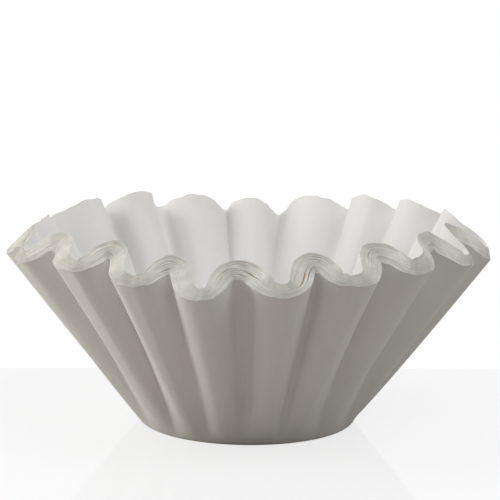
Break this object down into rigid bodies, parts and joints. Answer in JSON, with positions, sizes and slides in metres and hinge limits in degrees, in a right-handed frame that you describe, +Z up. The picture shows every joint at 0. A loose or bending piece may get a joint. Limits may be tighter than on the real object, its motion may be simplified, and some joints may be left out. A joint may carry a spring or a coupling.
{
  "type": "paper coffee filter stack",
  "caption": "Nested stack of white flat-bottomed basket coffee filters with a fluted, flaring wall and a thick rim of cut paper edges.",
  "frame": {"origin": "centre of the flat base, on the surface that the stack stands on", "axes": "+Z up through the open top; -Y is the front, as seen in the picture; +X to its right"},
  "size_m": [0.2325, 0.2342, 0.1031],
  "materials": {
    "filter_paper": "matt bleached filter paper"
  },
  "bodies": {
    "root": {"filter_stack": "filter_paper"}
  },
  "joints": []
}
